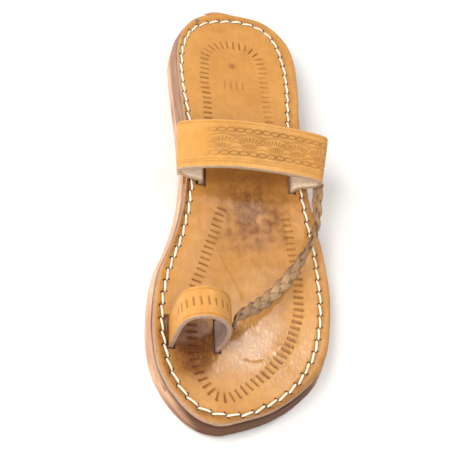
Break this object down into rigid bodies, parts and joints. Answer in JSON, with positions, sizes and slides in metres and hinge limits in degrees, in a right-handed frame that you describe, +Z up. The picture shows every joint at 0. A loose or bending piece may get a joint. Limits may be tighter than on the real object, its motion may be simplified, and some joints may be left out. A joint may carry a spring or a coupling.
{
  "type": "leather sandal",
  "caption": "Flat left leather sandal with a layered sole, a wide tooled instep strap, a big toe loop and a plaited leather thong between them.",
  "frame": {"origin": "on the floor under the middle of the sole's length and width", "axes": "+Z up from the floor, +Y from the toe to the heel, +X from the big toe's side to the little toe's side"},
  "size_m": [0.097, 0.262, 0.0402],
  "materials": {
    "outsole_leather": "thick sole leather with cut, lightly waxed pinkish brown sides",
    "heel_lift_leather": "thick sole leather with cut brown sides",
    "footbed_leather": "smooth waxed tan leather, stamped and stitched",
    "instep_strap_leather": "smooth waxed tan leather, tooled, with a raw flesh side",
    "toe_loop_leather": "smooth waxed tan leather, stamped, with a raw flesh side",
    "braid_leather": "matte undyed leather strands"
  },
  "bodies": {
    "root": {"outsole": "outsole_leather", "heel_lift": "heel_lift_leather", "footbed": "footbed_leather", "instep_strap": "instep_strap_leather", "toe_loop": "toe_loop_leather", "braid": "braid_leather"}
  },
  "joints": []
}
